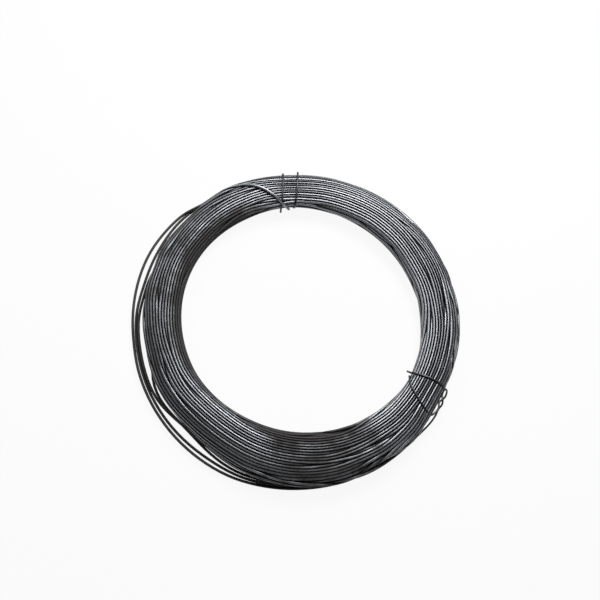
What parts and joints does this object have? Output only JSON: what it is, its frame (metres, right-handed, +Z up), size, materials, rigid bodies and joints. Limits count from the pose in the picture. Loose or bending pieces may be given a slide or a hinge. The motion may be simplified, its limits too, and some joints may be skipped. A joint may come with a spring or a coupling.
{
  "type": "coil of wire rod",
  "caption": "Flat coil of plain dark steel wire wound on an open bore, squeezed and hand-tied with short wires, with a few outer turns sprung loose; raw stock.",
  "frame": {"origin": "on the coil's axis, in the plane of the floor that it lies on", "axes": "+Z up along the coil's axis; +X and +Y in the plane of the coil, with the loose outer turns towards -X and the rear tie near +Y"},
  "size_m": [0.3008, 0.2989, 0.0248],
  "materials": {
    "coil_wire": "dark drawn steel, satin, with thin oxide and oil",
    "tie_wire": "dark annealed steel, dull"
  },
  "bodies": {
    "root": {"wire_coil": "coil_wire", "tie_rear": "tie_wire", "tie_front": "tie_wire"}
  },
  "joints": []
}
